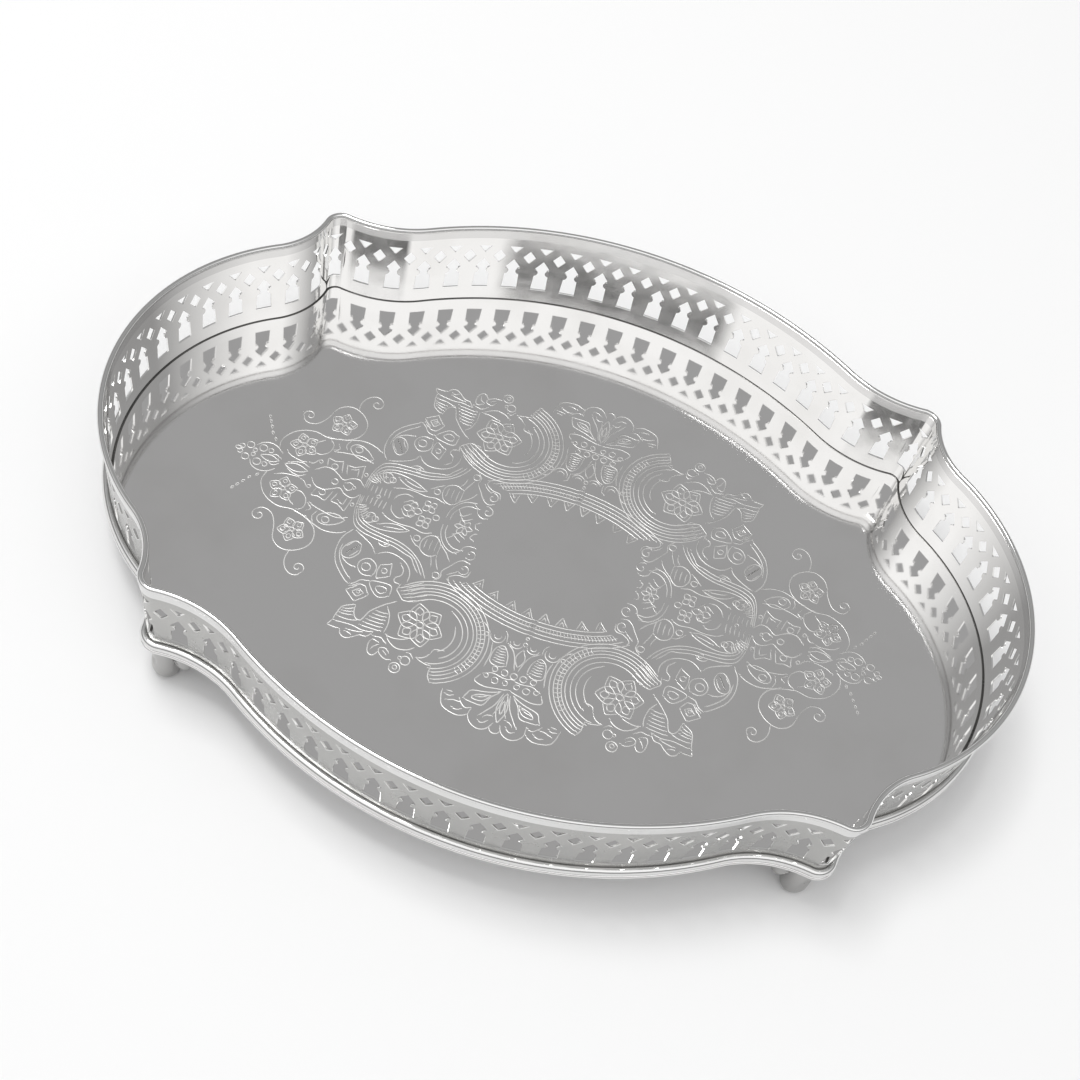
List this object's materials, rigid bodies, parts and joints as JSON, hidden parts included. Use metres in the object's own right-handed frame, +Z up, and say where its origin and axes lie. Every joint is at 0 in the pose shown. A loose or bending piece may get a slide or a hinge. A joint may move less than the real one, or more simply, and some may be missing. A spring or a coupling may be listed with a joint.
{
  "type": "gallery serving tray",
  "caption": "Shaped oval serving tray with a flat floor, an upright pierced gallery wall with a wire rim, a half-round base moulding and lobed corner feet.",
  "frame": {"origin": "on the table under the middle of the tray, level with the soles of the feet", "axes": "+X along the tray's length to the right, +Y across it towards the back, +Z up"},
  "size_m": [0.4082, 0.2992, 0.0725],
  "materials": {
    "floor_plate": "silver plate, polished flat, with a chased centre",
    "silver_gallery": "silver plate, bright polished, pierced",
    "silver_rim": "silver plate, bright polished wire",
    "silver_moulding": "silver plate, bright polished half-round",
    "silver_feet": "silver plate, cast, softer polish"
  },
  "bodies": {
    "root": {"tray_floor": "floor_plate", "gallery_back": "silver_gallery", "gallery_front": "silver_gallery", "gallery_left": "silver_gallery", "gallery_right": "silver_gallery", "rim_back": "silver_rim", "rim_front": "silver_rim", "rim_left": "silver_rim", "rim_right": "silver_rim", "moulding_back": "silver_moulding", "moulding_front": "silver_moulding", "moulding_left": "silver_moulding", "moulding_right": "silver_moulding", "foot_back_left": "silver_feet", "foot_back_right": "silver_feet", "foot_front_left": "silver_feet", "foot_front_right": "silver_feet"}
  },
  "joints": []
}
